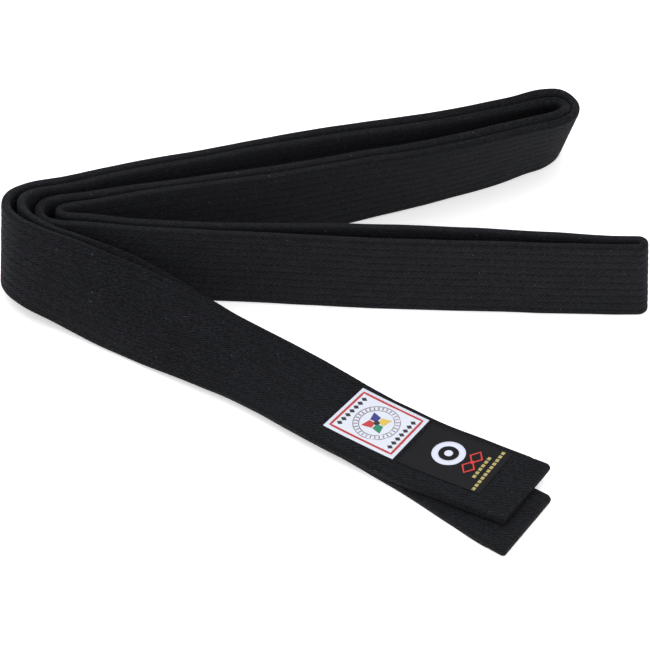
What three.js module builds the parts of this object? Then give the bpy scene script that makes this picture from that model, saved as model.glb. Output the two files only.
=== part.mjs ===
// Martial arts belt, folded double and laid down in a zigzag.
// One long strap is folded at its middle, so that two lays run side by side. The doubled strap
// stands on its long edge, turns back on itself at the left, at the right and at the left again,
// then leans over and ends lying flat, with its two tails one on the other.
// Each lay is a twill cover wrapped round a padded core and quilted with rows of lockstitch.
// Millimetres, +Z up, resting on Z = 0. The origin is the centre of the footprint.
import * as THREE from 'three';

// ---- Driving dimensions -------------------------------------------------------------------
const beltWidth = 45;         // across the strap
const clothWall = 0.5;        // the cover's twill
const seamOpening = 0.6;      // between the cover's two turned-in edges
const coreThickness = 1.6;    // the padding's plies, stitched together
const coreGap = 0.35;         // between the core's faces and the cover
const coreEdgeGap = 0.6;      // between the core's long edges and the cover
const coreSetBack = 0.8;      // from the tail's end to the core's end
const quiltRows = 9;
const quiltPitch = 4.6;       // between rows of quilting
const threadWidth = 0.5;
const threadHeight = 0.25;
const threadGap = 0.25;       // from the cloth to a thread that lies on it
const layClearance = 0.25;    // between the threads of the two lays
const hemInset = 10;          // from the tail's end to its hem stitch
const hemMargin = 2;          // from the hem stitch's ends to the strap's long edges
const upperTailShort = 9;     // how far the upper tail ends before the lower one
const labelThickness = 0.4;
const labelEdge = 3;          // from the strap's long edge to both labels
const badgeWidth = 32;        // white woven label, across the strap
const badgeLength = 40;
const patchWidth = 32;        // black satin label, across the strap
const patchLength = 45;
const patchInset = 19;        // from the tail's end to the black label
const labelSpacing = 2.5;     // between the two labels
const labelStitchInset = 1;   // from a label's edge to the stitch round it

const twill = 0x1c1e24;
const thread = 0x262930;
const canvas = 0xb9b2a2;
const white = 0xe8ebf2;
const satin = 0x15161d;

// ---- Sizes that follow --------------------------------------------------------------------
const coverThickness = coreThickness + 2 * (coreGap + clothWall);
const half = coverThickness / 2;                       // from the strap's middle to its face
const quiltLift = half + threadGap;                    // to the foot of a thread on the face
const quiltTop = quiltLift + threadHeight;
const layPitch = 2 * quiltTop + layClearance;          // between the middles of touching lays
const quiltSpan = (quiltRows - 1) * quiltPitch;
const rowPlaces = Array.from({ length: quiltRows }, (_, row) => -quiltSpan / 2 + row * quiltPitch);
const labelLift = quiltTop + threadGap;
const labelTop = labelLift + labelThickness;

// ---- Route of the doubled strap -----------------------------------------------------------
// Each row is a station on the line half way between the lays, at half the strap's width, from
// the middle fold at the right to the tails:
//   x, y      place seen from above
//   lx, ly    lean of the strap from upright, in degrees, towards +X and +Y
//   curl      how far the strap curls across its width, in degrees
//   spread    how far the lays stand apart beyond touching
//   slip      how far the inner lay has slid up the strap's width
//   tuck      how far the upper tail's lay is drawn in towards +X
//   lift      how far the strap's own stiffness holds it off the table
const route = [
  [151.8, 1.6, 0, 0, 0, 1, 0, 0, 0], [144, 1.7, 0, 0, 0, 1, 0, 0, 0],
  [110, 3.3, 0, 0, 0, 3, 0, 0, 0], [77, 5.4, 0, 0, 0, 4.4, 0, 0, 0],
  [46, 7, 0, 0, 0, 5.2, 0, 0, 0], [13, 8.4, 0, 0, 0, 4.6, 0, 0, 0],
  [-20, 9.8, 0, 0, 0, 2.8, 0, 0, 0], [-60, 11.7, 0, 0, 0, 0.6, 0, 0, 0],
  [-97, 14.6, 0, 0, 0, 0.3, 0, 1, 0],
  // first fold, at the left
  [-117, 17.2, 0, 0, 0, 0.7, 0, 2.8, 0], [-130.2, 18.8, 0, 0, 0, 1, 0, 4, 0],
  [-134.3, 20.5, 0, 0, 0, 1, 0, 4.4, 0], [-136, 24.6, 0, 0, 0, 1, 0, 4.5, 0],
  [-134.3, 28, 0, 0, 0, 1, 0, 4.4, 0], [-130.2, 29.7, 0, 0, 0, 1, 0, 4, 0],
  [-117, 32.4, 0, 0, 0, 0.7, 0, 2.8, 0],
  // leg to the right, leaning forwards as it goes
  [-95, 37.2, 0, 0, 0, 0.3, 0, 1, 0], [-60, 44.2, 0, -1, 0, 0, 0, 0, 0],
  [-20, 53.2, 0, -4, 0, 0, 0, 0, 0], [17.4, 63.8, 1, -7.6, 0, 0, 0, 0, 0],
  [47.2, 72.3, 3, -11.6, 0, 0, 0, 0, 0], [66.9, 79.1, 5, -13, 0, 0, 0, 0, 0],
  [87.7, 87.2, 7, -14.5, 0, 0, 0, 0, 0], [99.9, 92.6, 10, -16, 0, 0, 0, 0, 0],
  // second fold, at the right
  [110.6, 97.6, 12, -17, 0, 0, 0, 0, 0], [114.8, 102.2, 12.5, -18, 0, 0, 0, 0, 0],
  [114.7, 108.8, 12.5, -18.5, 0, 0, 0, 0, 0], [110.2, 112.9, 12, -19, 0, 0, 0, 0, 0],
  [104, 112.8, 11, -19, 0, 0, 0, 0, 0],
  // leg back to the left
  [88.5, 106.8, 9, -18, 0, 0, 0, 0, 0], [67.3, 98.4, 6, -15, 0, 0, 0, 0, 0],
  [45.2, 91.5, 3, -12.5, 0, 0, 0, 0, 0], [17.4, 84.2, 1, -8.4, 0, 0, 0, 0, 0],
  [-20, 74, 0, -4, 0, 0, 0, 0, 0], [-60, 62.4, 0, -1, 0, 0, 0, 0, 0],
  [-95, 53.2, 0, 0, 0, 0, 0, 0, 0], [-125.4, 43.6, -1, 0, 0, 0.3, 0, 0, 0],
  // third fold, at the left, wrapped round the first
  [-141.3, 37.7, -3, 2, 0, 1.2, 0, 0, 1], [-148.6, 28.3, -3, 7, 0, 2.8, 0, 0, 3.5],
  [-151.2, 18.3, 1, 10, 0, 3.2, 0, 0, 6], [-148, 9, 5, 11.5, 0, 2.2, 0, 0, 7],
  [-140.5, 2.4, 8.5, 14, 4, 1.2, 0, 0, 6],
  // leg to the front right: it leans back, curls and lies down
  [-125.5, -4.4, 13, 19, 18, 0.3, 1, 0, 3.5], [-103.3, -15.8, 22, 31, 64, 0, 3, 0, 1],
  [-82.3, -24.4, 32, 45, 84, 0, 3.5, 0, 0], [-61, -32.8, 42, 60, 70, 0, 4.2, 0, 0],
  [-40.4, -43.2, 49, 69, 34, 0, 4.8, 0, 0], [-21.6, -56.1, 53, 71.5, 8, 0, 5, 0, 0],
  [-2.7, -71.2, 54.5, 71.5, 0, 0, 4.6, 0, 0], [22.8, -89.8, 53, 72.5, 0, 0, 3.2, 0, 0],
  [47.7, -106.2, 49, 75.5, 0, 0, 0, 0, 0], [73.5, -120.6, 46, 77.3, 0, 0, -7.2, 0, 0],
  [94.1, -131.8, 46.4, 77.1, 0, 0, -13.2, 0, 0], [105.2, -138.2, 46.4, 77.1, 0, 0, -14.6, 0, 0],
];

// The rows leave room for a doubled strap of this pitch. A thicker one moves them apart, in
// shares of its growth: [row, share in X, share in Y], with even steps between.
const drawnPitch = 4.55;
const roomShares = [
  [0, 0, 0], [8, 0, 0], [16, 0, 2], [23, 0, 2], [29, 0, 4], [36, 0, 4], [37, -1, 3.5],
  [38, -2, 2.5], [39, -2.5, 0.5], [40, -2, -1.5], [41, -1, -2], [42, 0, -2], [route.length, 0, -2],
];
const roomyRoute = route.map(([x, y, ...rest], i) => {
  const next = roomShares.findIndex(([row]) => row > i);
  const [before, after] = [roomShares[next - 1], roomShares[next]];
  const t = (i - before[0]) / (after[0] - before[0]);
  const [shareX, shareY] = [1, 2].map((k) => before[k] + t * (after[k] - before[k]));
  const growth = layPitch - drawnPitch;
  return [x + shareX * growth, y + shareY * growth, ...rest];
});

// A smooth curve through the rows (cubic Hermite, spaced by the distance between rows).
function smoothRoute(rows, steps) {
  const gaps = rows.slice(1).map((row, i) => Math.hypot(row[0] - rows[i][0], row[1] - rows[i][1]));
  const slope = (i, k) => (rows[i + 1][k] - rows[i][k]) / gaps[i];
  const tangent = (i, k) => {
    if (i === 0) return slope(0, k);
    if (i === rows.length - 1) return slope(i - 1, k);
    return (slope(i - 1, k) * gaps[i] + slope(i, k) * gaps[i - 1]) / (gaps[i - 1] + gaps[i]);
  };
  const points = [];
  for (let i = 0; i < gaps.length; i++) {
    for (let step = 0; step < steps; step++) {
      const t = step / steps;
      points.push(rows[i].map((value, k) => (2 * t ** 3 - 3 * t ** 2 + 1) * value
        + (t ** 3 - 2 * t ** 2 + t) * gaps[i] * tangent(i, k)
        + (3 * t ** 2 - 2 * t ** 3) * rows[i + 1][k]
        + (t ** 3 - t ** 2) * gaps[i] * tangent(i + 1, k)));
    }
  }
  points.push(rows.at(-1));
  return points;
}

const up = new THREE.Vector3(0, 0, 1);
const degrees = THREE.MathUtils.degToRad;

// A station: the strap's place, its heading and its lean, ready to place points of either lay.
function makeStation([x, y, lx, ly, curl, spread, slip, tuck, lift], heading, distance) {
  const lean = Math.hypot(lx, ly);
  const leanWay = lean > 0.01
    ? new THREE.Vector3(lx, ly, 0).normalize()
    : new THREE.Vector3(heading.y, -heading.x, 0);
  return {
    x, y, heading, leanWay, distance, spread, slip, tuck, lift,
    lean: degrees(lean), bend: degrees(curl) / beltWidth, drop: 0,
  };
}

// The point of a lay at `across` (from the strap's middle, upwards) and `out` (from the middle
// of its thickness, towards its outer face). side is 1 for the upper tail's lay, -1 for the other.
function place(station, side, across, out) {
  const offset = side * (layPitch + station.spread) / 2;
  const slid = across + (side < 0 ? station.slip : 0);
  const width = slid / (1 + station.bend * offset);
  const angle = station.lean + station.bend * width;
  const sideways = station.bend
    ? (Math.cos(station.lean) - Math.cos(angle)) / station.bend
    : width * Math.sin(angle);
  const upwards = station.bend
    ? (Math.sin(angle) - Math.sin(station.lean)) / station.bend
    : width * Math.cos(angle);
  const direction = station.leanWay.clone().multiplyScalar(Math.sin(angle))
    .addScaledVector(up, Math.cos(angle));
  const normal = station.heading.clone().cross(direction).normalize();
  return new THREE.Vector3(station.x + (side > 0 ? station.tuck : 0), station.y, -station.drop)
    .addScaledVector(station.leanWay, sideways)
    .addScaledVector(up, upwards)
    .addScaledVector(normal, offset + side * out);
}

// Stations stand closer together where the strap turns, leans or curls more.
const turnPerStation = degrees(42);
const leanPerStation = degrees(24);
const farthestStation = 110;
function makeStations() {
  const curve = smoothRoute(roomyRoute, 24);
  const heading = (i) => {
    const [a, b] = [curve[Math.max(i - 1, 0)], curve[Math.min(i + 1, curve.length - 1)]];
    return new THREE.Vector3(b[0] - a[0], b[1] - a[1], 0).normalize();
  };
  const stations = [makeStation(curve[0], heading(0), 0)];
  let cost = 0;
  let distance = 0;
  for (let i = 1; i < curve.length; i++) {
    const [now, before] = [curve[i], curve[i - 1]];
    const step = Math.hypot(now[0] - before[0], now[1] - before[1]);
    distance += step;
    cost += step / farthestStation + heading(i).angleTo(heading(i - 1)) / turnPerStation
      + degrees(Math.hypot(now[2] - before[2], now[3] - before[3])) / leanPerStation
      + degrees(Math.abs(now[4] - before[4])) / leanPerStation / 2;
    if (cost >= 1 || i === curve.length - 1) {
      stations.push(makeStation(now, heading(i), distance));
      cost = 0;
    }
  }
  return stations;
}

// The station at a distance along the route, on the straight between its neighbours.
function stationAt(distance) {
  const next = stations.findIndex((station) => station.distance >= distance);
  const [a, b] = [stations[Math.max(next - 1, 0)], stations[next]];
  const t = next > 0 ? (distance - a.distance) / (b.distance - a.distance) : 0;
  const mix = (key) => a[key] + (b[key] - a[key]) * t;
  const numbers = ['x', 'y', 'distance', 'spread', 'slip', 'tuck', 'lean', 'bend', 'drop'];
  return {
    ...Object.fromEntries(numbers.map((key) => [key, mix(key)])),
    heading: a.heading.clone().lerp(b.heading, t).normalize(),
    leanWay: a.leanWay.clone().lerp(b.leanWay, t).normalize(),
  };
}

// Every station comes down until its lowest point, cloth or thread, is at its lift.
function layDown(stations) {
  for (const station of stations) {
    const lowest = [];
    for (const side of [1, -1]) {
      for (const end of [1, -1]) {
        for (const face of [1, -1]) {
          lowest.push(place(station, side, end * beltWidth / 2, face * half).z);
          lowest.push(place(station, side, end * quiltSpan / 2, face * quiltTop).z);
        }
      }
    }
    station.drop = Math.min(...lowest) - station.lift;
  }
}

const stations = makeStations();
layDown(stations);
const routeLength = stations.at(-1).distance;
const upperTailEnd = routeLength - upperTailShort;

// The middle fold turns half a circle about the first station.
const foldSteps = 5;
function foldPoint(turn, across, out) {
  const first = stations[0];
  const radius = (layPitch + first.spread) / 2 + out;
  const outward = new THREE.Vector3(0, 1, 0).multiplyScalar(Math.cos(turn))
    .add(new THREE.Vector3(Math.sin(turn), 0, 0));
  return new THREE.Vector3(first.x, first.y, across - first.drop).addScaledVector(outward, radius);
}

// The whole strap as a list of sections, from one tail to the other: each section is a function
// that places (across, out). setBack shortens the strap at both tails.
function strapSections(setBack) {
  const upper = stations.filter((s) => s.distance < upperTailEnd - setBack - 1);
  upper.push(stationAt(upperTailEnd - setBack));
  const lower = stations.filter((s) => s.distance < routeLength - setBack - 1);
  lower.push(stationAt(routeLength - setBack));
  const sections = upper.reverse().map((s) => (across, out) => place(s, 1, across, out));
  for (let i = 1; i < foldSteps; i++) {
    sections.push((across, out) => foldPoint(Math.PI * i / foldSteps, across, out));
  }
  return sections.concat(lower.map((s) => (across, out) => place(s, -1, across, out)));
}

// ---- Solids -------------------------------------------------------------------------------
// A closed solid swept through sections: outline is a list of [across, out] points. Every face
// is split along the same diagonal, so that faces one over the other stay parallel as they twist.
function sweep(outline, sections) {
  const corners = outline.map(([across, out]) => new THREE.Vector2(across, out));
  if (THREE.ShapeUtils.isClockWise(corners)) corners.reverse();
  const count = corners.length;
  const positions = sections.flatMap((section) => corners.flatMap(({ x, y }) => section(x, y).toArray()));
  const faces = [];
  for (let i = 0; i + 1 < sections.length; i++) {
    for (let j = 0; j < count; j++) {
      const [a, b] = [i * count + j, i * count + (j + 1) % count];
      const rising = corners[(j + 1) % count].x > corners[j].x;
      if (rising) faces.push([a, b, b + count], [a, b + count, a + count]);
      else faces.push([a, b, a + count], [b, b + count, a + count]);
    }
  }
  const cap = THREE.ShapeUtils.triangulateShape(corners, []);
  const last = (sections.length - 1) * count;
  for (const [a, b, c] of cap) {
    faces.push([a, c, b], [last + a, last + b, last + c]);
  }
  return closedGeometry(positions, faces);
}

// A flat ring or plate on a lay's face: outer and inner outlines in [along, across].
function plate(outer, holes, low, high, toWorld) {
  const shape = new THREE.Shape(outer.map(([x, y]) => new THREE.Vector2(x, y)));
  shape.holes = holes.map((hole) => new THREE.Path(hole.map(([x, y]) => new THREE.Vector2(x, y))));
  const geometry = new THREE.ExtrudeGeometry(shape, { depth: high - low, bevelEnabled: false });
  const position = geometry.attributes.position;
  const positions = [];
  for (let i = 0; i < position.count; i++) {
    positions.push(...toWorld(position.getX(i), position.getY(i), low + position.getZ(i)).toArray());
  }
  const faces = [];
  for (let i = 0; i < position.count; i += 3) faces.push([i, i + 1, i + 2]);
  return closedGeometry(positions, faces);
}

// Builds the geometry with its faces pointing out.
function closedGeometry(positions, faces) {
  const corner = (i) => new THREE.Vector3().fromArray(positions, 3 * i);
  let volume = 0;
  for (const [a, b, c] of faces) volume += corner(a).dot(corner(b).cross(corner(c)));
  const index = faces.flatMap(([a, b, c]) => (volume > 0 ? [a, b, c] : [a, c, b]));
  const geometry = new THREE.BufferGeometry();
  geometry.setAttribute('position', new THREE.Float32BufferAttribute(positions, 3));
  geometry.setIndex(index);
  const faceted = geometry.toNonIndexed();
  faceted.computeVertexNormals();
  return faceted;
}

const group = new THREE.Group();
function addPart(name, geometry, color, roughness) {
  const material = new THREE.MeshStandardMaterial({ color, roughness, metalness: 0 });
  const mesh = new THREE.Mesh(geometry, material);
  mesh.name = name;
  group.add(mesh);
}

// Points across the strap: its edges and the quilting rows between two places.
const stops = (from, to) => {
  const [low, high] = [Math.min(from, to), Math.max(from, to)];
  const between = rowPlaces.filter((across) => across > low && across < high);
  if (to < from) between.reverse();
  return [from, ...between, to];
};
const line = (from, to, out) => stops(from, to).map((across) => [across, out]);

// Cover: twill wrapped round the core. Its two turned-in edges meet at the seam on the inner
// face, between the two lowest rows of quilting.
function coverOutline() {
  const edge = beltWidth / 2;
  const inEdge = edge - clothWall;
  const inHalf = half - clothWall;
  const seam = rowPlaces[0] + quiltPitch / 2;
  const [seamLow, seamHigh] = [seam - seamOpening / 2, seam + seamOpening / 2];
  const outside = [
    ...line(seamHigh, edge, -half),
    ...line(edge, -edge, half),
    ...line(-edge, seamLow, -half),
  ];
  const inside = [
    ...line(seamLow, -inEdge, -inHalf),
    ...line(-inEdge, inEdge, inHalf),
    ...line(inEdge, seamHigh, -inHalf),
  ];
  return [...outside, ...inside];
}
addPart('cover', sweep(coverOutline(), strapSections(0)), twill, 0.95);

// Core: the padding's plies, stitched together into one flat strip.
const coreEdge = beltWidth / 2 - clothWall - coreEdgeGap;
const coreOutline = [
  ...line(-coreEdge, coreEdge, -coreThickness / 2),
  ...line(coreEdge, -coreEdge, coreThickness / 2),
];
addPart('core', sweep(coreOutline, strapSections(coreSetBack)), canvas, 0.9);

// Quilting: each row has a needle thread on the outer face and a bobbin thread on the inner one.
const quiltSections = strapSections(hemInset + threadWidth + threadGap);
for (const [row, middle] of rowPlaces.entries()) {
  for (const [name, face] of [['needle_thread', 1], ['bobbin_thread', -1]]) {
    const outline = [
      [middle - threadWidth / 2, face * quiltLift],
      [middle + threadWidth / 2, face * quiltLift],
      [middle, face * quiltTop],
    ];
    addPart(`${name}_row_${row + 1}`, sweep(outline, quiltSections), thread, 0.8);
  }
}

// Places a point of the upper tail from its end: back along the strap, across it and out of it.
const upperTail = (back, across, out) => place(stationAt(upperTailEnd - back), 1, across, out);
const lowerTail = (back, across, out) => place(stationAt(routeLength - back), -1, across, out);
const rectangle = (x0, y0, x1, y1) => [[x0, y0], [x1, y0], [x1, y1], [x0, y1]];

// Hem stitches across both tails.
const hemEdge = beltWidth / 2 - hemMargin;
for (const [name, tail] of [['upper', upperTail], ['lower', lowerTail]]) {
  const outline = rectangle(hemInset - threadWidth / 2, -hemEdge, hemInset + threadWidth / 2, hemEdge);
  addPart(`${name}_tail_hem_thread`, plate(outline, [], quiltLift, quiltTop, tail), thread, 0.8);
}

// Labels on the upper tail, each with a stitch round its border.
const labelHigh = beltWidth / 2 - labelEdge;
const badgeInset = patchInset + patchLength + labelSpacing;
for (const [name, start, length, width, color, roughness, stitchColor] of [
  ['satin_label', patchInset, patchLength, patchWidth, satin, 0.45, thread],
  ['woven_badge', badgeInset, badgeLength, badgeWidth, white, 0.7, white],
]) {
  const outline = rectangle(start, labelHigh - width, start + length, labelHigh);
  addPart(name, plate(outline, [], labelLift, labelTop, upperTail), color, roughness);
  const inner = labelHigh - width;
  const end = start + length;
  const frame = (inset) => rectangle(start + inset, inner + inset, end - inset, labelHigh - inset);
  const holes = [frame(labelStitchInset + threadWidth)];
  const stitchLow = labelTop + threadGap;
  const stitch = plate(frame(labelStitchInset), holes, stitchLow, stitchLow + threadHeight, upperTail);
  addPart(`${name}_stitch`, stitch, stitchColor, 0.8);
}

// The origin is the middle of the footprint, on the table.
const box = new THREE.Box3().setFromObject(group);
group.position.set(-(box.min.x + box.max.x) / 2, -(box.min.y + box.max.y) / 2, -box.min.z);

export default group;
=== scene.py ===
"""A martial arts belt, folded double and laid down in a zigzag: the visual model round its CAD frame."""
import math

import bpy
import numpy as np
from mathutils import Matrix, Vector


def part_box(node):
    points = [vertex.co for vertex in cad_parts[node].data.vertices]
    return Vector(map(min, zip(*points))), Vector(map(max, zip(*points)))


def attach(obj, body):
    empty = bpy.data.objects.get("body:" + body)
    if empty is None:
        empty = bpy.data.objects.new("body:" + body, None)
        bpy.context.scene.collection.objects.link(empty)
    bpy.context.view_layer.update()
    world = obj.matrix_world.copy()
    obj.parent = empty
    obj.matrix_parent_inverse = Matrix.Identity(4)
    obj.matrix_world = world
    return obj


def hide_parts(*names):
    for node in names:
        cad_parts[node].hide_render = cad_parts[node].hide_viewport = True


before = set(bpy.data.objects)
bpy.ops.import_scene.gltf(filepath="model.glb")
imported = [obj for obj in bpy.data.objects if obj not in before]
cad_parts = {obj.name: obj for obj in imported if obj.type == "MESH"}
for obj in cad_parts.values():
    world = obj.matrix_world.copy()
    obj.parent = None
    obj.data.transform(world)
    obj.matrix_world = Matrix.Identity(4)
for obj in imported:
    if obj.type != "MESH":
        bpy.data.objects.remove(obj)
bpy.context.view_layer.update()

# ---- Cover ---------------------------------------------------------------------------------
# One long strip of black cotton twill, wrapped round the core so that its two turned-in edges
# meet on the inner face, and drawn down by rows of quilting. All sizes here are millimetres,
# measured on the unrolled strap: the distance from the upper tail's end, the place across the
# strap, and how far out of the strap's middle, with the outer face on the positive side.
belt_width = 45
half_thickness = 2.2
cloth_wall = 0.55
quilt_pitch = 4.6
quilt_rows = [quilt_pitch * (row - 4) for row in range(9)]
face_edge = quilt_rows[-1] + quilt_pitch / 2     # where the long edges start to turn over
seam_opening = 0.08              # the turned-in edges meet
crown_fall, groove_depth, groove_width = 0.08, 0.2, 0.5     # the quilting's relief
edge_squareness = 0.6            # 1 would make the folded long edges elliptic
hem_inset = 10
upper_tail_short = 9             # the upper tail ends this far before the lower one
lay_pitch = 4.55                 # between the middles of the two lays
route_spacing = 0.5

# The doubled strap's route, from the middle fold to the tails: place from above, lean from
# upright towards +X and +Y, curl across the width, extra space between the lays, slide of the
# lower lay up the width, pull of the upper lay towards +X, and height off the table. Degrees.
route = [
    [151.8, 1.6, 0, 0, 0, 1, 0, 0, 0], [144, 1.7, 0, 0, 0, 1, 0, 0, 0],
    [110, 3.3, 0, 0, 0, 3, 0, 0, 0], [77, 5.4, 0, 0, 0, 4.4, 0, 0, 0],
    [46, 7, 0, 0, 0, 5.2, 0, 0, 0], [13, 8.4, 0, 0, 0, 4.6, 0, 0, 0],
    [-20, 9.8, 0, 0, 0, 2.8, 0, 0, 0], [-60, 11.7, 0, 0, 0, 0.6, 0, 0, 0],
    [-97, 14.6, 0, 0, 0, 0.3, 0, 1, 0],
    # first fold, at the left
    [-117, 17.2, 0, 0, 0, 0.7, 0, 2.8, 0], [-130.2, 18.8, 0, 0, 0, 1, 0, 4, 0],
    [-134.3, 20.5, 0, 0, 0, 1, 0, 4.4, 0], [-136, 24.6, 0, 0, 0, 1, 0, 4.5, 0],
    [-134.3, 28, 0, 0, 0, 1, 0, 4.4, 0], [-130.2, 29.7, 0, 0, 0, 1, 0, 4, 0],
    [-117, 32.4, 0, 0, 0, 0.7, 0, 2.8, 0],
    # leg to the right, leaning forwards as it goes
    [-95, 37.2, 0, 0, 0, 0.3, 0, 1, 0], [-60, 44.2, 0, -1, 0, 0, 0, 0, 0],
    [-20, 53.2, 0, -4, 0, 0, 0, 0, 0], [17.4, 63.8, 1, -7.6, 0, 0, 0, 0, 0],
    [47.2, 72.3, 3, -11.6, 0, 0, 0, 0, 0], [66.9, 79.1, 5, -13, 0, 0, 0, 0, 0],
    [87.7, 87.2, 7, -14.5, 0, 0, 0, 0, 0], [99.9, 92.6, 10, -16, 0, 0, 0, 0, 0],
    # second fold, at the right
    [110.6, 97.6, 12, -17, 0, 0, 0, 0, 0], [114.8, 102.2, 12.5, -18, 0, 0, 0, 0, 0],
    [114.7, 108.8, 12.5, -18.5, 0, 0, 0, 0, 0], [110.2, 112.9, 12, -19, 0, 0, 0, 0, 0],
    [104, 112.8, 11, -19, 0, 0, 0, 0, 0],
    # leg back to the left
    [88.5, 106.8, 9, -18, 0, 0, 0, 0, 0], [67.3, 98.4, 6, -15, 0, 0, 0, 0, 0],
    [45.2, 91.5, 3, -12.5, 0, 0, 0, 0, 0], [17.4, 84.2, 1, -8.4, 0, 0, 0, 0, 0],
    [-20, 74, 0, -4, 0, 0, 0, 0, 0], [-60, 62.4, 0, -1, 0, 0, 0, 0, 0],
    [-95, 53.2, 0, 0, 0, 0, 0, 0, 0], [-125.4, 43.6, -1, 0, 0, 0.3, 0, 0, 0],
    # third fold, at the left, wrapped round the first
    [-141.3, 37.7, -3, 2, 0, 1.2, 0, 0, 1], [-148.6, 28.3, -3, 7, 0, 2.8, 0, 0, 3.5],
    [-151.2, 18.3, 1, 10, 0, 3.2, 0, 0, 6], [-148, 9, 5, 11.5, 0, 2.2, 0, 0, 7],
    [-140.5, 2.4, 8.5, 14, 4, 1.2, 0, 0, 6],
    # leg to the front right: it leans back, curls and lies down
    [-125.5, -4.4, 13, 19, 18, 0.3, 1, 0, 3.5], [-103.3, -15.8, 22, 31, 64, 0, 3, 0, 1],
    [-82.3, -24.4, 32, 45, 84, 0, 3.5, 0, 0], [-61, -32.8, 42, 60, 70, 0, 4.2, 0, 0],
    [-40.4, -43.2, 49, 69, 34, 0, 4.8, 0, 0], [-21.6, -56.1, 53, 71.5, 8, 0, 5, 0, 0],
    [-2.7, -71.2, 54.5, 71.5, 0, 0, 4.6, 0, 0], [22.8, -89.8, 53, 72.5, 0, 0, 3.2, 0, 0],
    [47.7, -106.2, 49, 75.5, 0, 0, 0, 0, 0], [73.5, -120.6, 46, 77.3, 0, 0, -7.2, 0, 0],
    [94.1, -131.8, 46.4, 77.1, 0, 0, -13.2, 0, 0], [105.2, -138.2, 46.4, 77.1, 0, 0, -14.6, 0, 0],
]


def steps_of(points):
    """The lengths of the steps between points, seen from above."""
    return np.hypot(*np.diff(points[:, :2], axis=0).T)


def smooth_route(rows, spacing=route_spacing, softness=1.2):
    """A smooth curve through the rows, evenly spaced, with its kinks eased over `softness`."""
    rows = np.array(rows, float)
    gaps = steps_of(rows)[:, None]
    slopes = np.diff(rows, axis=0) / gaps
    inner = (slopes[:-1] * gaps[1:] + slopes[1:] * gaps[:-1]) / (gaps[:-1] + gaps[1:])
    tangents = np.vstack([slopes[:1], inner, slopes[-1:]])
    t = np.linspace(0, 1, 48, endpoint=False)[None, :, None]
    curve = (
        (2 * t**3 - 3 * t**2 + 1) * rows[:-1, None]
        + (t**3 - 2 * t**2 + t) * (gaps * tangents[:-1])[:, None]
        + (3 * t**2 - 2 * t**3) * rows[1:, None]
        + (t**3 - t**2) * (gaps * tangents[1:])[:, None]
    )
    curve = np.vstack([curve.reshape(-1, rows.shape[1]), rows[-1:]])
    walked = np.concatenate([[0], np.cumsum(steps_of(curve))])
    even = np.linspace(0, walked[-1], round(walked[-1] / spacing) + 1)
    curve = np.column_stack([np.interp(even, walked, column) for column in curve.T])
    reach = math.ceil(3 * softness / spacing)
    kernel = np.exp(-0.5 * (np.arange(-reach, reach + 1) * spacing / softness) ** 2)
    before = 2 * curve[0] - curve[reach:0:-1]
    after = 2 * curve[-1] - curve[-2 : -reach - 2 : -1]
    spread_out = np.vstack([before, curve, after])
    eased = [np.convolve(column, kernel / kernel.sum(), "valid") for column in spread_out.T]
    return np.column_stack(eased)


curve = smooth_route(route)
walked = np.concatenate([[0], np.cumsum(steps_of(curve))])
heading = np.gradient(curve[:, :2], axis=0)
heading /= np.hypot(*heading.T)[:, None]
route_length = walked[-1]
drop = np.zeros(len(curve))      # how far each station comes down to stand on the table


def pair_at(distances):
    """The doubled strap's stations at distances from the middle fold, as a dict of columns."""
    names = ("x", "y", "lean_x", "lean_y", "curl", "spread", "slip", "tuck", "lift")
    pair = {name: np.interp(distances, walked, column) for name, column in zip(names, curve.T)}
    pair["drop"] = np.interp(distances, walked, drop)
    ways = [np.interp(distances, walked, column) for column in heading.T]
    pair["heading"] = np.column_stack(ways)
    return pair


def place(pair, side, across, out):
    """Points of one lay, side 1 for the upper tail's and -1 for the lower tail's."""
    ahead = np.column_stack([pair["heading"], np.zeros(len(pair["x"]))])
    ahead /= np.linalg.norm(ahead, axis=1)[:, None]
    tilt = np.hypot(pair["lean_x"], pair["lean_y"])
    upright = tilt < 0.01
    way_x = np.where(upright, ahead[:, 1], pair["lean_x"] / np.maximum(tilt, 0.01))
    way_y = np.where(upright, -ahead[:, 0], pair["lean_y"] / np.maximum(tilt, 0.01))
    lean_way = np.column_stack([way_x, way_y, np.zeros(len(tilt))])[:, None]
    lean = np.radians(tilt)[:, None]
    bend = np.maximum(np.radians(pair["curl"]) / belt_width, 1e-7)[:, None]
    offset = side * (lay_pitch + pair["spread"])[:, None] / 2
    width = (across + (pair["slip"][:, None] if side < 0 else 0)) / (1 + bend * offset)
    angle = (lean + bend * width)[:, :, None]
    sideways = ((np.cos(lean) - np.cos(angle[:, :, 0])) / bend)[:, :, None]
    upwards = ((np.sin(angle[:, :, 0]) - np.sin(lean)) / bend)[:, :, None]
    up = np.array([0.0, 0.0, 1.0])
    normal = np.cross(ahead[:, None], lean_way * np.sin(angle) + up * np.cos(angle))
    normal /= np.linalg.norm(normal, axis=2)[:, :, None]
    tuck = pair["tuck"] if side > 0 else 0
    middle = np.column_stack([pair["x"] + tuck, pair["y"], -pair["drop"]])
    from_middle = normal * (offset + side * out)[:, :, None]
    return middle[:, None] + lean_way * sideways + up * upwards + from_middle


# The middle fold is half a circle, so the whole strap is one lay, the fold and the other lay.
fold_radius = (lay_pitch + curve[0, 5]) / 2
fold_length = math.pi * fold_radius
upper_end = route_length - upper_tail_short
strap_length = upper_end + fold_length + route_length
shift = np.zeros(3)              # from the route's own place to the frame


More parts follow.
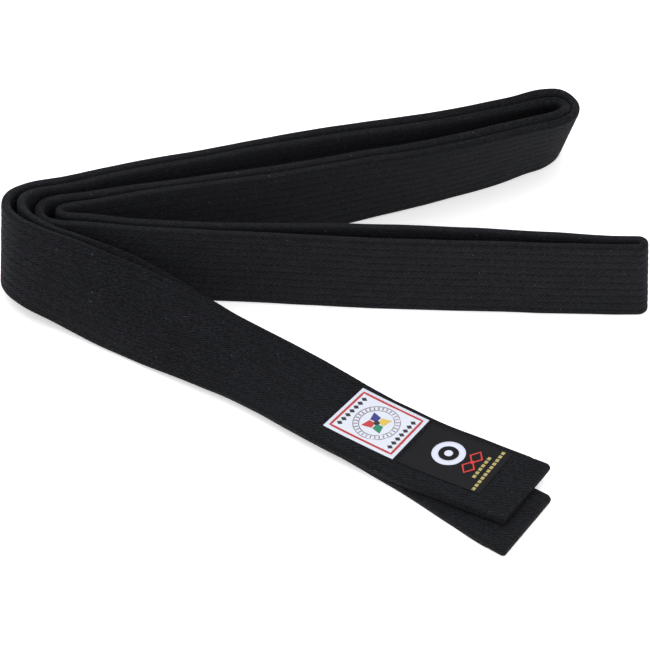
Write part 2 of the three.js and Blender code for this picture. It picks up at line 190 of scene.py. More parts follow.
def strap(distances, across, out):
    """Points of the strap in metres, in the frame, from places on the unrolled strap."""
    distances = np.asarray(distances, float)
    across = np.broadcast_to(across, (len(distances), np.shape(across)[-1]))
    out = np.broadcast_to(out, across.shape)
    points = np.empty((*across.shape, 3))
    upper = distances <= upper_end
    lower = distances >= upper_end + fold_length
    points[upper] = place(pair_at(upper_end - distances[upper]), 1, across[upper], out[upper])
    beyond = distances[lower] - upper_end - fold_length
    points[lower] = place(pair_at(beyond), -1, across[lower], out[lower])
    middle = ~(upper | lower)
    turn = (distances[middle] - upper_end)[:, None] / fold_radius
    radius = fold_radius + out[middle]
    points[middle, :, 0] = curve[0, 0] + np.sin(turn) * radius
    points[middle, :, 1] = curve[0, 1] + np.cos(turn) * radius
    points[middle, :, 2] = across[middle] - drop[0]
    return (points + shift) / 1000


def quilt_stops(low, high):
    """Places across a face between two limits: a crown and a valley for every row of quilting."""
    steps = (-quilt_pitch / 2, -1.1, -0.35, 0.35, 1.1)
    stops = [row + step for row in quilt_rows for step in steps]
    return [low] + [stop for stop in stops if low < stop < high] + [high]


def valley(across):
    """How far the quilting draws a face in."""
    nearest = np.min(np.abs(np.subtract.outer(across, quilt_rows)), axis=1)
    crown = crown_fall * (1 + np.cos(2 * np.pi * nearest / quilt_pitch)) / 2
    return crown + groove_depth * np.exp(-((nearest / groove_width) ** 2))


# The outline across the strap: [across, out at full thickness, quilted?, place round the cloth].
seam = (quilt_rows[0] + quilt_rows[1]) / 2
seam_low, seam_high = seam - seam_opening / 2, seam + seam_opening / 2
turned = 11 * quilt_pitch        # keeps the quilting rows in step on both faces of the cloth
outline = [[a, -1, 1, a - turned] for a in quilt_stops(seam_high, face_edge)]
edge_angles = (66, 44, 21, 0, -21, -44, -66)
for end in (1, -1):
    for i, angle in enumerate(edge_angles):
        c, s = math.cos(math.radians(angle)), math.sin(math.radians(angle))
        edge_across = face_edge + (belt_width / 2 - face_edge) * c**edge_squareness
        edge_out = -end * math.copysign(abs(s) ** edge_squareness, s)
        round_cloth = face_edge + (i + 1) / (len(edge_angles) + 1) * (turned - 2 * face_edge)
        round_cloth = -turned + round_cloth if end > 0 else round_cloth
        outline.append([end * edge_across, edge_out, 0, round_cloth])
    if end > 0:
        outline += [[a, 1, 1, -a] for a in reversed(quilt_stops(-face_edge, face_edge))]
outline += [[a, -1, 1, turned + a] for a in quilt_stops(-face_edge, seam_low)]
outline = np.array(outline)
outside = len(outline)

# The cavity's wall, all round the core: [across, out]. It stays clear of the quilting's grooves.
wall_edge, wall_out = belt_width / 2 - cloth_wall, half_thickness - cloth_wall - 0.42
wall = [[seam_low, -1], [-wall_edge, -1], [-wall_edge, 1], [0, 1]]
wall += [[wall_edge, 1], [wall_edge, -1], [0, -1], [seam_high, -1]]
wall = np.array(wall) * [1, wall_out]

# Every station comes down until the strap's lowest point is at its lift.
full_out = outline[:, 1] * half_thickness
everywhere = pair_at(walked)
lowest = [
    place(everywhere, side, outline[None, :, 0], full_out[None])[:, :, 2].min(axis=1)
    for side in (1, -1)
]
drop = np.minimum(*lowest) - curve[:, 8]

# The upper tail's lay is squeezed on the inside of the tightest fold, the first one.
tightest_fold = upper_end - walked[curve[: len(curve) // 2, 0].argmin()]
squeeze_share, squeeze_reach = 0.27, 9
hem_draw, hem_groove_width = 0.16, 0.9
end_distances = [0, 0.15, 0.5, 1.1, 1.9, 8]                 # from a tail's end: it is rounded off,
end_thickness = [0.42, 0.62, 0.82, 0.93, 0.97, 0.9]         # as a share of the full thickness
ripples = ((0.05, 5.3, 4.1, 0.4), (0.05, 9.7, -6.4, 2.1), (0.04, 3.1, 2.3, 4.4))


def cloth_places(distances):
    """Across and out for the outline at every distance: quilted in the middle, flat at the hems."""
    to_end = np.minimum(distances, strap_length - distances)[:, None]
    quilted = np.clip((to_end - hem_inset) / 3, 0, 1)
    drawn_in = np.sign(outline[:, 1]) * outline[:, 2] * quilted * valley(outline[:, 0])
    out = outline[:, 1] * half_thickness - drawn_in
    hem_pinch = 1 - hem_draw * np.exp(-(((to_end - hem_inset) / hem_groove_width) ** 2))
    end_round = np.interp(to_end, end_distances, end_thickness)
    end_round = np.where(to_end > hem_inset, 1, end_round)
    narrow = 1 - 0.035 * np.clip(1 - to_end / 2.5, 0, 1) ** 2
    ripple = sum(
        size * np.sin(distances[:, None] / long + outline[:, 0] / wide + phase)
        for size, long, wide, phase in ripples
    )
    sway = 0.12 * np.sin(distances / 17.3) + 0.08 * np.sin(distances / 6.1 + 1.3)
    across = outline[:, 0] * narrow + sway[:, None]
    from_fold = (distances - tightest_fold) / squeeze_reach
    squeeze = 1 - squeeze_share * np.exp(-(from_fold**2))[:, None]
    out = np.where(out > 0, out * squeeze, out)
    return across, out * hem_pinch * end_round + ripple * np.abs(outline[:, 1]) * 0.8


fine_step, longest_step, fold_step, hem_step = 0.25, 3.9, 0.5, 0.7
turn_per_step = np.radians(7.4)


def stations(start, end):
    """Distances along the strap, closer together in the folds, the twist and the hems."""
    fine = np.arange(start, end, fine_step)
    lay = np.where(fine < upper_end, upper_end - fine, fine - upper_end - fold_length)
    turn = np.abs(np.gradient(np.unwrap(np.arctan2(heading[:, 1], heading[:, 0]))))
    lean = np.hypot(np.gradient(curve[:, 2]), np.gradient(curve[:, 3]))
    lean += np.abs(np.gradient(curve[:, 4]))
    bending = np.interp(lay, walked, turn + np.radians(lean) * 0.4)
    cost = fine_step / longest_step + bending / turn_per_step * (fine_step / route_spacing)
    in_fold = (fine > upper_end) & (fine < upper_end + fold_length)
    cost = np.where(in_fold, fine_step / fold_step, cost)
    to_end = np.minimum(fine, strap_length - fine)
    cost = np.where(to_end < hem_inset + 3, fine_step / hem_step, cost)
    total = np.cumsum(cost)
    places = np.interp(np.arange(total[0], total[-1], 1.0), total, fine)
    return np.append(places, end)


def srgb(code):
    """A colour given as an sRGB hex value, made linear, with full alpha."""
    parts = [((code >> bits) & 255) / 255 for bits in (16, 8, 0)]
    return [c / 12.92 if c <= 0.04045 else ((c + 0.055) / 1.055) ** 2.4 for c in parts] + [1]


def add(tree, kind, inputs=None, **settings):
    """Adds a shader node with its settings, and with its inputs set or linked."""
    node = tree.nodes.new("ShaderNode" + kind)
    for name, value in settings.items():
        setattr(node, name, value)
    for name, value in (inputs or {}).items():
        if isinstance(value, bpy.types.NodeSocket):
            tree.links.new(value, node.inputs[name])
        else:
            node.inputs[name].default_value = value
    return node


def new_material(name):
    """An empty material, its node tree and its Principled shader."""
    material = bpy.data.materials.new(name)
    material.use_nodes = True
    return material, material.node_tree, material.node_tree.nodes["Principled BSDF"]


def make_piece(name, points, faces, places, material, smooth=180):
    """A mesh piece from points in metres, with the unrolled places of its points as its UV map."""
    mesh = bpy.data.meshes.new(name)
    mesh.from_pydata(np.reshape(points, (-1, 3)).tolist(), [], faces)
    corners = np.empty(len(mesh.loops), int)
    mesh.loops.foreach_get("vertex_index", corners)
    flat = np.reshape(places, (-1, 2))[corners] / 1000
    mesh.uv_layers.new(name="unrolled").data.foreach_set("uv", flat.ravel())
    mesh.materials.append(material)
    piece = bpy.data.objects.new(name, mesh)
    bpy.context.collection.objects.link(piece)
    bpy.ops.object.select_all(action="DESELECT")
    piece.select_set(True)
    bpy.context.view_layer.objects.active = piece
    bpy.ops.object.mode_set(mode="EDIT")
    bpy.ops.mesh.select_all(action="SELECT")
    bpy.ops.mesh.normals_make_consistent(inside=False)
    bpy.ops.object.mode_set(mode="OBJECT")
    bpy.ops.object.shade_smooth_by_angle(angle=math.radians(smooth))
    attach(piece, "root")
    return piece


def tube_faces(rings, count, first=0):
    """Quads between rings of points that follow each other in the list of points."""
    return [
        (first + i * count + j, first + i * count + (j + 1) % count,
         first + (i + 1) * count + (j + 1) % count, first + (i + 1) * count + j)
        for i in range(rings - 1) for j in range(count)
    ]


def unrolled(distances, across):
    """Places on the unrolled strap: every distance with every place across."""
    return np.dstack(np.broadcast_arrays(distances[:, None], across)).reshape(-1, 2)


wave_scale = 0.314               # a wave texture's scale that gives bands one metre apart


def black_cotton_twill():
    """Cotton twill, dyed black: diagonal ribs, a brushed face that catches light at a slant, lint."""
    material, tree, shader = new_material("black_cotton_twill")
    uv = add(tree, "TexCoord").outputs["UV"]
    rib_spacing = 0.0011         # drawn about twice as coarse as the real rib, so that it shows
    slanted = add(tree, "Mapping", {"Vector": uv, "Rotation": (0, 0, math.radians(57))})
    ribs = add(tree, "TexWave", {"Vector": slanted.outputs[0], "Scale": wave_scale / rib_spacing,
                                 "Distortion": 1.6, "Detail": 2.0, "Detail Scale": 2.0})
    yarn = add(tree, "Mapping", {"Vector": uv, "Scale": (520, 1150, 1)})
    fuzz = add(tree, "TexNoise", {"Vector": yarn.outputs[0], "Scale": 1.0, "Detail": 4.0, "Roughness": 0.75})
    mottle = add(tree, "TexNoise", {"Vector": uv, "Scale": 110.0, "Detail": 4.0, "Roughness": 0.7})
    split = add(tree, "SeparateXYZ", {"Vector": uv})
    to_row = add(tree, "Math", {0: split.outputs[1], 1: quilt_pitch / 2000}, operation="PINGPONG")
    in_row = add(tree, "MapRange", {"Value": to_row.outputs[0], "From Min": 0.0002, "From Max": 0.0009,
                                    "To Min": 1.0, "To Max": 0.0}, interpolation_type="SMOOTHSTEP")
    to_hole = add(tree, "Math", {0: split.outputs[0], 1: stitch_step / 2000}, operation="PINGPONG")
    in_hole = add(tree, "MapRange", {"Value": to_hole.outputs[0], "From Min": 0.0001, "From Max": 0.0009,
                                     "To Min": 1.0, "To Max": 0.25}, interpolation_type="SMOOTHSTEP")
    dimple = add(tree, "Math", {0: in_row.outputs[0], 1: in_hole.outputs[0]}, operation="MULTIPLY")
    shade = add(tree, "MapRange", {"Value": fuzz.outputs[0], "From Min": 0.42, "From Max": 0.64})
    cloth = add(tree, "Mix", {0: shade.outputs[0], 6: srgb(0x000001), 7: srgb(0x1c1d23)}, data_type="RGBA")
    broad = add(tree, "MapRange", {"Value": mottle.outputs[0], "From Min": 0.35, "From Max": 0.65,
                                   "To Min": 0.65, "To Max": 1.3})
    tinted = add(tree, "VectorMath", {0: cloth.outputs[2], "Scale": broad.outputs[0]}, operation="SCALE")
    # Painted shade: the cloth colour is darkened in the quilting valleys and at the stitch holes, where shade
    # falls.
    painted_valley_shade = add(tree, "MapRange", {"Value": dimple.outputs[0], "To Min": 1.0, "To Max": 0.8})
    valley_shaded_cloth = add(tree, "VectorMath", {0: tinted.outputs[0], "Scale": painted_valley_shade.outputs[0]}, operation="SCALE")
    cells = add(tree, "TexVoronoi", {"Vector": uv, "Scale": 300.0})
    near = add(tree, "Math", {0: cells.outputs["Distance"], 1: 0.065}, operation="LESS_THAN")
    chosen = add(tree, "SeparateXYZ", {"Vector": cells.outputs["Color"]})
    rare = add(tree, "Math", {0: chosen.outputs[0], 1: 0.6}, operation="GREATER_THAN")
    lint = add(tree, "Math", {0: near.outputs[0], 1: rare.outputs[0]}, operation="MULTIPLY")
    linted = add(tree, "Mix", {0: lint.outputs[0], 6: valley_shaded_cloth.outputs[0], 7: srgb(0x5a5d66)}, data_type="RGBA")
    tree.links.new(linted.outputs[2], shader.inputs["Base Color"])
    ridge = add(tree, "Math", {0: fuzz.outputs[0], 1: 0.8, 2: ribs.outputs[1]}, operation="MULTIPLY_ADD")
    relief = add(tree, "Math", {0: dimple.outputs[0], 1: -1.2, 2: ridge.outputs[0]}, operation="MULTIPLY_ADD")
    bump = add(tree, "Bump", {"Height": relief.outputs[0], "Strength": 1.0, "Distance": 0.0005})
    tree.links.new(bump.outputs[0], shader.inputs["Normal"])
    shader.inputs["Roughness"].default_value = 0.9
    shader.inputs["Specular IOR Level"].default_value = 0.16
    shader.inputs["Sheen Weight"].default_value = 0.035
    shader.inputs["Sheen Roughness"].default_value = 0.45
    shader.inputs["Sheen Tint"].default_value = srgb(0xb8c0d0)
    return material


stitch_step = 3.2
cover_start = 1.2                # the cavity for the core starts this far in
along = stations(cover_start, strap_length - cover_start)
across, out = cloth_places(along)
inner_across = np.broadcast_to(wall[:, 0], (len(along), len(wall)))
inner_out = np.broadcast_to(wall[:, 1], (len(along), len(wall)))
ring_across, ring_out = np.hstack([across, inner_across]), np.hstack([out, inner_out])
trial = strap(along, ring_across, ring_out) * 1000
cad_cover = np.array(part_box("cover")) * 1000
centre = (cad_cover.sum(axis=0) - trial.min(axis=(0, 1)) - trial.max(axis=(0, 1))) / 2
shift = np.array([centre[0], centre[1], 0])
body = strap(along, ring_across, ring_out)
ring = ring_across.shape[1]
faces = tube_faces(len(along), ring)
points = [body.reshape(-1, 3)]
round_ring = np.concatenate([outline[:, 3], wall[:, 0]])
places = [unrolled(along, round_ring)]
for end, first_ring in ((0, 0), (1, (len(along) - 1) * ring)):
    # The tail's end closes over the core: the outside of the outline runs on and rounds off.
    inward = np.array([0.75, 0.4, 0.15, 0])
    tip = inward if end == 0 else strap_length - inward
    tip_across, tip_out = cloth_places(tip)
    count = sum(len(group) for group in points)
    points.append(strap(tip, tip_across, tip_out).reshape(-1, 3))
    places.append(unrolled(tip, outline[:, 3]))
    faces += [
        (first_ring + j, first_ring + (j + 1) % outside, count + (j + 1) % outside, count + j)
        for j in range(outside)
    ]
    faces += tube_faces(len(inward), outside, first=count)
    faces.append(tuple(count + (len(inward) - 1) * outside + j for j in range(outside)))
    faces.append(tuple(first_ring + outside + j for j in range(len(wall))))
    faces.append((first_ring + outside - 1, first_ring + outside, first_ring + ring - 1, first_ring))
points, places = np.vstack(points), np.vstack(places)
cover = make_piece("twill_cover", points, faces, places, black_cotton_twill())
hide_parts("cover")

# ---- Core ----------------------------------------------------------------------------------
# Plies of unbleached canvas, stitched into one strip that fills the cover and gives the belt
# its body. The quilting goes through it.
core_half_width, core_half, core_back = 21.2, 0.8, 2.2


def unbleached_canvas():
    """Plain-woven cotton canvas, not bleached: warm off-white, matt, with a coarse even weave."""
    material, tree, shader = new_material("unbleached_canvas")
    uv = add(tree, "TexCoord").outputs["UV"]
    thread_spacing = 0.0009
    weave = [
        add(tree, "TexWave", {"Vector": uv, "Scale": wave_scale / thread_spacing, "Distortion": 0.6},
            bands_direction=way).outputs[1]
        for way in ("X", "Y")
    ]
    grid = add(tree, "Math", {0: weave[0], 1: weave[1]}, operation="MULTIPLY")
    colour = add(tree, "Mix", {0: grid.outputs[0], 6: srgb(0x9c937f), 7: srgb(0xc9c0aa)}, data_type="RGBA")
    bump = add(tree, "Bump", {"Height": grid.outputs[0], "Strength": 0.6, "Distance": 0.0002})
    tree.links.new(colour.outputs[2], shader.inputs["Base Color"])
    tree.links.new(bump.outputs[0], shader.inputs["Normal"])
    shader.inputs["Roughness"].default_value = 0.9
    return material


core_ring = np.array([
    [-core_half_width, -core_half], [-core_half_width, core_half], [0, core_half],
    [core_half_width, core_half], [core_half_width, -core_half], [0, -core_half],
])
core_along = along[(along > core_back) & (along < strap_length - core_back)]
core_points = strap(core_along, core_ring[:, 0], core_ring[:, 1])
core_faces = tube_faces(len(core_along), len(core_ring))
core_end = len(core_along) * len(core_ring)
core_faces += [tuple(range(len(core_ring))), tuple(range(core_end - len(core_ring), core_end))]
core_places = unrolled(core_along, core_ring[:, 0])
canvas = unbleached_canvas()
core = make_piece("canvas_core", core_points, core_faces, core_places, canvas, 30)
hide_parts("core")

# ---- Quilting ------------------------------------------------------------------------------
# Nine rows of lockstitch run the length of the belt through cover and core: the needle thread
# shows on the outer face and the bobbin thread on the inner one, each stitch sunk in its valley.
stitch_gap = 0.55
thread_radius = 0.27
# A stitch's rings: place along half the stitch, share of the radius, how deep it is pulled in.
stitch_rings = ((-1, 0.25, 0.22), (-0.6, 0.9, 0.06), (0, 1, 0), (0.6, 0.9, 0.06), (1, 0.25, 0.22))


def black_spun_thread():
    """Spun polyester sewing thread, black: two plies twisted together, with a dull shine."""
    material, tree, shader = new_material("black_spun_thread")
    uv = add(tree, "TexCoord").outputs["UV"]
    slanted = add(tree, "Mapping", {"Vector": uv, "Rotation": (0, 0, math.radians(35))})
    twist = add(tree, "TexWave", {"Vector": slanted.outputs[0], "Scale": wave_scale / 0.0004,
                                  "Distortion": 0.8})
    colour = add(tree, "Mix", {0: twist.outputs[1], 6: srgb(0x08080b), 7: srgb(0x191a1f)}, data_type="RGBA")
    bump = add(tree, "Bump", {"Height": twist.outputs[1], "Strength": 0.5, "Distance": 0.00005})
    tree.links.new(colour.outputs[2], shader.inputs["Base Color"])
    tree.links.new(bump.outputs[0], shader.inputs["Normal"])
    shader.inputs["Roughness"].default_value = 0.7
    shader.inputs["Specular IOR Level"].default_value = 0.2
    return material


def stitch_line(start, end, step=stitch_step, gap=stitch_gap, radius=thread_radius):
    """Stitches from start to end, each given as [distance, across, out]: points, faces, places."""
    start, end = np.array(start, float), np.array(end, float)
    length = np.hypot(*(end - start)[:2])
    count = max(1, int(length // step))
    ahead = (end - start)[:2] / length
    beside = np.array([-ahead[1], ahead[0]])
    centres = start + (end - start) * ((np.arange(count) + 0.5) / count)[:, None]
    half = (step - gap) / 2
    face = np.sign(start[2])
    around = np.radians(np.arange(0, 360, 60))
    rings = []
    for share, size, sink in stitch_rings:
        sideways, lift = size * radius * np.cos(around), size * radius * np.sin(around)
        where = centres[:, None, :2] + share * half * ahead + sideways[None, :, None] * beside
        height = centres[:, None, 2] + face * (lift - sink)[None]
        rings.append(np.dstack([where, height]))
    laid = np.stack(rings, axis=1)                       # stitch, ring, point, coordinate
    stitch, ring_count, sides = laid.shape[:3]
    flat = laid.reshape(-1, 3)
    points = strap(flat[:, 0], flat[:, 1:2], flat[:, 2:3])[:, 0]
    size = ring_count * sides
    one = tube_faces(ring_count, sides) + [tuple(range(sides)), tuple(range(size - sides, size))]
    faces = [tuple(k * size + j for j in corners) for k in range(stitch) for corners in one]
    return points, faces, flat[:, :2]


def sew(name, lines, material=None, slot="thread", **sizes):
    """One piece of thread made of several straight runs of stitches."""
    points, faces, places, count = [], [], [], 0
    for start, end in lines:
        line_points, line_faces, line_places = stitch_line(start, end, **sizes)
        faces += [tuple(count + j for j in face) for face in line_faces]
        points.append(line_points)
        places.append(line_places)
        count += len(line_points)
    points, places = np.vstack(points), np.vstack(places)
    return make_piece(name, points, faces, places, material or sewing_thread)


sewing_thread = black_spun_thread()
valley_floor = half_thickness - float(valley(np.array([0.0]))[0])
quilt_start, quilt_end = hem_inset + 1.2, strap_length - hem_inset - 1.2
for number, row in enumerate(quilt_rows, start=1):
    for kind, face in (("needle_thread", 1), ("bobbin_thread", -1)):
        level = face * (valley_floor + 0.1)
        run = ([quilt_start, row, level], [quilt_end, row, level])
        quilting = sew(f"{kind}_stitches_{number}", [run])
        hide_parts(f"{kind}_row_{number}")

# ---- Hems ----------------------------------------------------------------------------------
# A line of stitches across each tail holds its turned-in end. It goes through, so it shows on
# both faces.
hem_reach = belt_width / 2 - 2.2
hem_level = (1 - hem_draw) * end_thickness[-1] * half_thickness + 0.22
for tail, distance in (("upper_tail", hem_inset), ("lower_tail", strap_length - hem_inset)):
    runs = [
        ([distance, -hem_reach, face * hem_level], [distance, hem_reach, face * hem_level])
        for face in (1, -1)
    ]
    hem = sew(f"{tail}_hem_stitches", runs, step=2.8, gap=0.5)
    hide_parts(f"{tail}_hem_thread")

# ---- Satin label ---------------------------------------------------------------------------
# A black woven satin label, sewn to the upper tail, with a pale woven ring, a red knot and rows
# of gold dashes woven into it.
label_low, label_high = half_thickness - 0.02, half_thickness + 0.42
label_top_edge = belt_width / 2 - 3
patch_start, patch_length, patch_width = 19, 45, 32


def black_satin():
    """Rayon satin, black: long floats along the belt give it a smooth face and a soft shine."""
    material, tree, shader = new_material("black_satin")
    uv = add(tree, "TexCoord").outputs["UV"]
    floats = add(tree, "Mapping", {"Vector": uv, "Scale": (300, 2400, 1)})
    grain = add(tree, "TexNoise", {"Vector": floats.outputs[0], "Scale": 1.0, "Detail": 2.0})
    colour = add(tree, "Mix", {0: grain.outputs[0], 6: srgb(0x030304), 7: srgb(0x0e0f14)}, data_type="RGBA")
    bump = add(tree, "Bump", {"Height": grain.outputs[0], "Strength": 0.35, "Distance": 0.00006})
    tree.links.new(colour.outputs[2], shader.inputs["Base Color"])
    tree.links.new(bump.outputs[0], shader.inputs["Normal"])
    shader.inputs["Roughness"].default_value = 0.6
    shader.inputs["Specular IOR Level"].default_value = 0.16
    return material


def embroidery(name, code):
    """Rayon weft floats of one colour, packed side by side: fine ribs with a silky shine."""
    material, tree, shader = new_material(name)
    uv = add(tree, "TexCoord").outputs["UV"]
    ribs = add(tree, "TexWave", {"Vector": uv, "Scale": wave_scale / 0.0006, "Distortion": 0.5})
    dark, light = srgb(code), srgb(code)
    dark[:3] = [channel * 0.72 for channel in dark[:3]]
    colour = add(tree, "Mix", {0: ribs.outputs[1], 6: dark, 7: light}, data_type="RGBA")
    bump = add(tree, "Bump", {"Height": ribs.outputs[1], "Strength": 0.5, "Distance": 0.00006})
    tree.links.new(colour.outputs[2], shader.inputs["Base Color"])
    tree.links.new(bump.outputs[0], shader.inputs["Normal"])
    shader.inputs["Roughness"].default_value = 0.5
    return material


def panel_grid(size):
    """Places from 0 to size, a millimetre apart, with a closer one beside each edge."""
    return np.concatenate([[0, 0.25], np.arange(1, size - 0.5, 1), [size - 0.25, size]])


def label_panel(name, start, length, width, material, slot):
    """A thin closed panel of cloth on the upper tail, soft at the edges and a little quilted."""
    distances = panel_grid(length) + start
    widths = panel_grid(width)
    rows = label_top_edge - width + widths
    from_ends = np.minimum(distances - start, start + length - distances)
    to_edge = np.minimum.outer(from_ends, np.minimum(widths, width - widths))
    crown = np.interp(to_edge, [0, 0.25, 1], [-0.16, -0.03, 0])
    quilted = 0.035 * np.cos(2 * np.pi * rows / quilt_pitch)[None]
    waves = quilted + 0.03 * np.sin(distances / 4.7)[:, None]
    top = strap(distances, np.broadcast_to(rows, crown.shape), label_high + crown - waves)
    bottom = strap(distances, np.broadcast_to(rows, crown.shape), np.full(crown.shape, label_low))
    n, m = crown.shape
    index = np.arange(n * m).reshape(n, m)
    faces = [
        (index[i, j], index[i, j + 1], index[i + 1, j + 1], index[i + 1, j])
        for i in range(n - 1) for j in range(m - 1)
    ]
    faces += [tuple(n * m + corner for corner in reversed(face)) for face in faces]
    rim = np.concatenate([index[:-1, 0], index[-1, :-1], index[:0:-1, -1], index[0, :0:-1]])
    faces += [(a, b, n * m + b, n * m + a) for a, b in zip(rim, np.roll(rim, -1))]
    where = unrolled(distances, rows)
    points = np.vstack([top.reshape(-1, 3), bottom.reshape(-1, 3)])
    faces = [tuple(int(corner) for corner in face) for face in faces]
    panel = make_piece(name, points, faces, np.vstack([where, where]), material, 50)
    return panel


def label_stitching(name, start, length, width, **thread):
    """Small stitches round a label, just inside its border."""
    inset, level = 1.1, label_high + 0.08
    low, high = label_top_edge - width + inset, label_top_edge - inset
    near, far = start + inset, start + length - inset
    corners = [[near, low, level], [near, high, level], [far, high, level], [far, low, level]]
    runs = list(zip(corners, corners[1:] + corners[:1]))
    return sew(name, runs, step=2.2, gap=0.6, radius=0.17, **thread)


woven_in = 0.12                  # how deep a woven shape's lower edge lies in the label


def woven_shapes(name, outlines, material, rise=0.1):
    """Flat woven shapes on a label: each outline, in [distance, across], raised a little."""
    points, faces, places, count = [], [], [], 0
    for shape in outlines:
        shape = np.array(shape, float)
        middle = shape.mean(axis=0)
        inner = middle + (shape - middle) * (1 - 0.12 / max(np.ptp(shape, axis=0).max(), 0.5))
        for corners, lift in ((shape, -woven_in), (shape, 0.4 * rise), (inner, rise)):
            level = np.full((len(corners), 1), label_high + lift)
            points.append(strap(corners[:, 0], corners[:, 1:2], level)[:, 0])
            places.append(corners)
        sides = len(shape)
        faces += tube_faces(3, sides, first=count)
        faces.append(tuple(count + j for j in range(sides)))
        faces.append(tuple(count + 2 * sides + j for j in range(sides)))
        count += 3 * sides
    return make_piece(name, np.vstack(points), faces, np.vstack(places), material, 40)


def woven_line(name, paths, width, material, rise=0.1):
    """Woven lines on a label: each closed path, in [distance, across], given a width."""
    points, faces, places, count = [], [], [], 0
    for path in paths:
        path = np.array(path, float)
        ahead = np.roll(path, -1, axis=0) - np.roll(path, 1, axis=0)
        ahead /= np.linalg.norm(ahead, axis=1)[:, None]
        beside = np.column_stack([-ahead[:, 1], ahead[:, 0]])
        edge, shoulder = -woven_in, 0.5 * rise
        section = [(-0.5, edge), (-0.46, shoulder), (0, rise), (0.46, shoulder), (0.5, edge)]
        spots = np.stack([path + share * width * beside for share, _ in section], axis=1)
        levels = np.broadcast_to([label_high + lift for _, lift in section], spots.shape[:2])
        flat = spots.reshape(-1, 2)
        points.append(strap(flat[:, 0], flat[:, 1:2], levels.reshape(-1, 1))[:, 0])
        places.append(flat)
        total = len(flat)
        loop = tube_faces(len(path) + 1, len(section))
        faces += [tuple(count + corner % total for corner in face) for face in loop]
        count += total
    return make_piece(name, np.vstack(points), faces, np.vstack(places), material, 60)


def circle(centre, radius, sides=64):
    """Points round a circle on a label."""
    turns = np.linspace(0, 2 * np.pi, sides, endpoint=False)
    return np.array(centre) + radius * np.column_stack([np.cos(turns), np.sin(turns)])


def box_shape(centre, length, width, signs=((-1, -1), (1, -1), (1, 1), (-1, 1))):
    """The corners of a rectangle on a label, its length along the belt."""
    return [[centre[0] + i * length / 2, centre[1] + j * width / 2] for i, j in signs]


def lozenge(centre, length, width):
    """The corners of a lozenge on a label."""
    return box_shape(centre, length, width, ((-1, 0), (0, -1), (1, 0), (0, 1)))


patch_size = (patch_start, patch_length, patch_width)
satin = label_panel("satin_label_cloth", *patch_size, black_satin(), "black_satin")
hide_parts("satin_label")
satin_stitches = label_stitching("satin_label_stitches", *patch_size)
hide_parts("satin_label_stitch")
patch_middle = np.array([patch_start + patch_length / 2, label_top_edge - patch_width / 2])

ring_centre = patch_middle + [4.4, 1.2]
white_rayon = embroidery("white_rayon", 0xd4d8ea)
woven_line("pale_ring", [circle(ring_centre, 6.6)], 3.4, white_rayon, 0.14)
woven_shapes("pale_hub", [circle(ring_centre, 2.1, 28)], white_rayon, 0.14)

knot_centre = patch_middle + [-8.6, 1.2]
knot_loops = [
    [knot_centre + np.array(corner) + [0, aside] for corner in lozenge((0, 0), 6.4, 8.4)]
    for aside in (-3.8, 3.8)
]
red_rayon = embroidery("red_rayon", 0xc81d16)
woven_line("red_knot", knot_loops, 1.1, red_rayon, 0.14)
woven_shapes("red_knot_centre", [lozenge(knot_centre, 2.6, 2.6)], red_rayon)

gold_dashes = [
    box_shape(patch_middle + [back, middle + (k - (count - 1) / 2) * 2.8], 1.7, 2.0)
    for back, middle, count in ((-14.4, 0.2, 6), (-18.4, -0.4, 11)) for k in range(count)
]
woven_shapes("gold_dashes", gold_dashes, embroidery("gold_rayon", 0xaa9c5c))

# ---- Woven badge ---------------------------------------------------------------------------
# A white damask label beside the satin one. Woven into it are a red border, a compass star in
# two thin rings, and rows of dark lozenges.
label_spacing = 2.5
badge_start, badge_length, badge_width = patch_start + patch_length + label_spacing, 40, 32


def white_damask():
    """Polyester damask, white: a tight even weave, almost smooth, with a slight shine."""
    material, tree, shader = new_material("white_damask")
    uv = add(tree, "TexCoord").outputs["UV"]
    weave = [
        add(tree, "TexWave", {"Vector": uv, "Scale": wave_scale / 0.0007, "Distortion": 0.4},
            bands_direction=way).outputs[1]
        for way in ("X", "Y")
    ]
    grid = add(tree, "Math", {0: weave[0], 1: weave[1]}, operation="MULTIPLY")
    colour = add(tree, "Mix", {0: grid.outputs[0], 6: srgb(0xbcc2ce), 7: srgb(0xdde2ec)}, data_type="RGBA")
    bump = add(tree, "Bump", {"Height": grid.outputs[0], "Strength": 0.4, "Distance": 0.00006})
    tree.links.new(colour.outputs[2], shader.inputs["Base Color"])
    tree.links.new(bump.outputs[0], shader.inputs["Normal"])
    shader.inputs["Roughness"].default_value = 0.6
    return material


badge_size = (badge_start, badge_length, badge_width)
badge = label_panel("badge_cloth", *badge_size, white_damask(), "white_weave")
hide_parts("woven_badge")
badge_stitches = label_stitching(
    "badge_stitches", *badge_size, material=white_rayon, slot="white_weave"
)
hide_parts("woven_badge_stitch")
badge_middle = np.array([badge_start + badge_length / 2, label_top_edge - badge_width / 2])


def border_path(inset, step=2.0):
    """Points round the badge at an inset from its edge."""
    half_long, half_wide = badge_length / 2 - inset, badge_width / 2 - inset
    corners = np.array([[-1, -1], [1, -1], [1, 1], [-1, 1]]) * [half_long, half_wide] + badge_middle
    path = []
    for start, end in zip(corners, np.roll(corners, -1, axis=0)):
        count = round(np.linalg.norm(end - start) / step)
        path += [start + (end - start) * k / count for k in range(count)]
    return path




def on_spoke(degrees, spots):
    """Places on the badge, each [out from the middle, aside], along a spoke at an angle."""
    turn = math.radians(degrees)
    spoke = np.array([math.cos(turn), math.sin(turn)])
    aside = np.array([-math.sin(turn), math.cos(turn)])
    return [badge_middle + reach * spoke + side * aside for reach, side in spots]


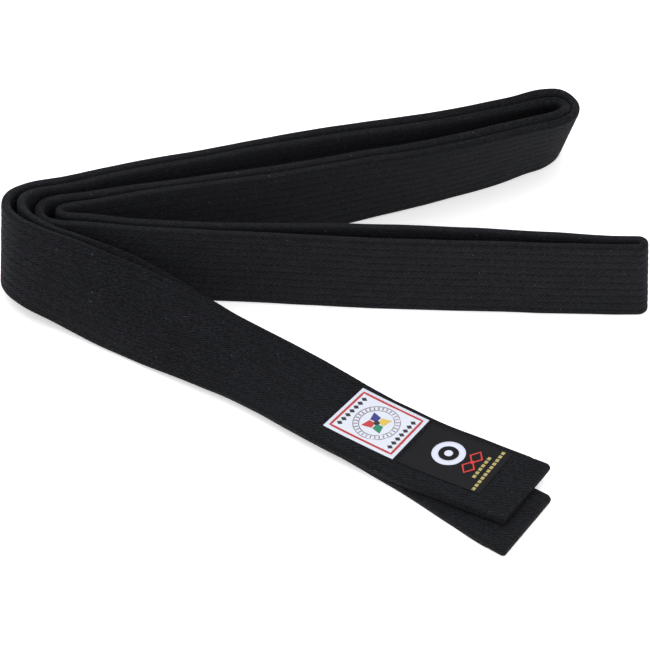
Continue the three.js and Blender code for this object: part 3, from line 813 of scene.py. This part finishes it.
border_red = embroidery("border_red_rayon", 0xb01f22)
woven_line("red_border", [border_path(2.4)], 1.35, border_red)
grey = embroidery("grey_rayon", 0x7c7078)
rings = [circle(badge_middle, 11.4), circle(badge_middle, 8.7)]
woven_line("badge_rings", rings, 0.5, grey, 0.07)
tick_spots = box_shape((10.05, 0), 1.7, 0.6)
ticks = [on_spoke(12 * k, tick_spots) for k in range(30)]
woven_shapes("badge_ticks", ticks, grey, 0.07)
star_colours = {"blue": 0x26267a, "gold": 0xd2b44a, "green": 0x0e7d58, "red": 0xb62a24}
for k, (colour_name, code) in enumerate(star_colours.items()):
    point = on_spoke(90 * k + 45, ((0.6, 0), (3.1, -2.7), (7.5, 0), (3.1, 2.7)))
    rayon = embroidery(f"star_{colour_name}_rayon", code)
    woven_shapes(f"star_point_{colour_name}", [point], rayon, 0.12)
black_rayon = embroidery("black_rayon", 0x0b0b0f)
woven_shapes("star_hub", [circle(badge_middle, 1.5, 20)], black_rayon, 0.16)
beads = [
    lozenge(badge_middle + [end * 14.6, (k - 3) * 3.3], 3.4, 2.7)
    for end in (-1, 1) for k in range(7)
]
woven_shapes("badge_lozenges", beads, black_rayon, 0.08)

# ---- Stage, light and camera -----------------------------------------------------------------
# A plain white table, soft light from above and a long lens. The belt stands on its edges.
bpy.ops.mesh.primitive_plane_add(size=12, location=(0, 0, 0))
table = bpy.context.object
table.name = "table"
paper, _, paper_shader = new_material("white_paper")
paper_shader.inputs["Base Color"].default_value = srgb(0xf7f7f7)
paper_shader.inputs["Roughness"].default_value = 0.9
paper_shader.inputs["Specular IOR Level"].default_value = 0.1
paper_shader.inputs["Emission Color"].default_value = srgb(0xffffff)
paper_shader.inputs["Emission Strength"].default_value = 0.4    # a lit table, so shadows stay faint
table.data.materials.append(paper)

world = bpy.data.worlds.new("studio")
world.use_nodes = True
world.node_tree.nodes["Background"].inputs["Color"].default_value = srgb(0xffffff)
world.node_tree.nodes["Background"].inputs["Strength"].default_value = 1.0
bpy.context.scene.world = world
for name, place_at, size, power in (
    ("overhead_softbox", (-0.3, 0.4, 1.6), 1.6, 13),
    ("front_softbox", (0.5, -1.3, 1.3), 1.2, 6),
):
    lamp = bpy.data.lights.new(name, "AREA")
    lamp.size, lamp.energy = size, power
    light = bpy.data.objects.new(name, lamp)
    light.location = place_at
    direction = -light.location
    light.rotation_euler = direction.to_track_quat("-Z", "Y").to_euler()
    bpy.context.collection.objects.link(light)

camera_elevation, camera_distance = math.radians(44.5), 12
target = (0.0004, 0.0125, 0)
lens = bpy.data.cameras.new("camera")
lens.lens, lens.sensor_width = 1370, 36
lens.clip_start = 0.1
camera = bpy.data.objects.new("camera", lens)
camera.location = (
    target[0],
    target[1] - camera_distance * math.cos(camera_elevation),
    target[2] + camera_distance * math.sin(camera_elevation),
)
camera.rotation_euler = (math.pi / 2 - camera_elevation, 0, 0)
bpy.context.collection.objects.link(camera)
bpy.context.scene.camera = camera
bpy.context.scene.view_settings.view_transform = "Standard"
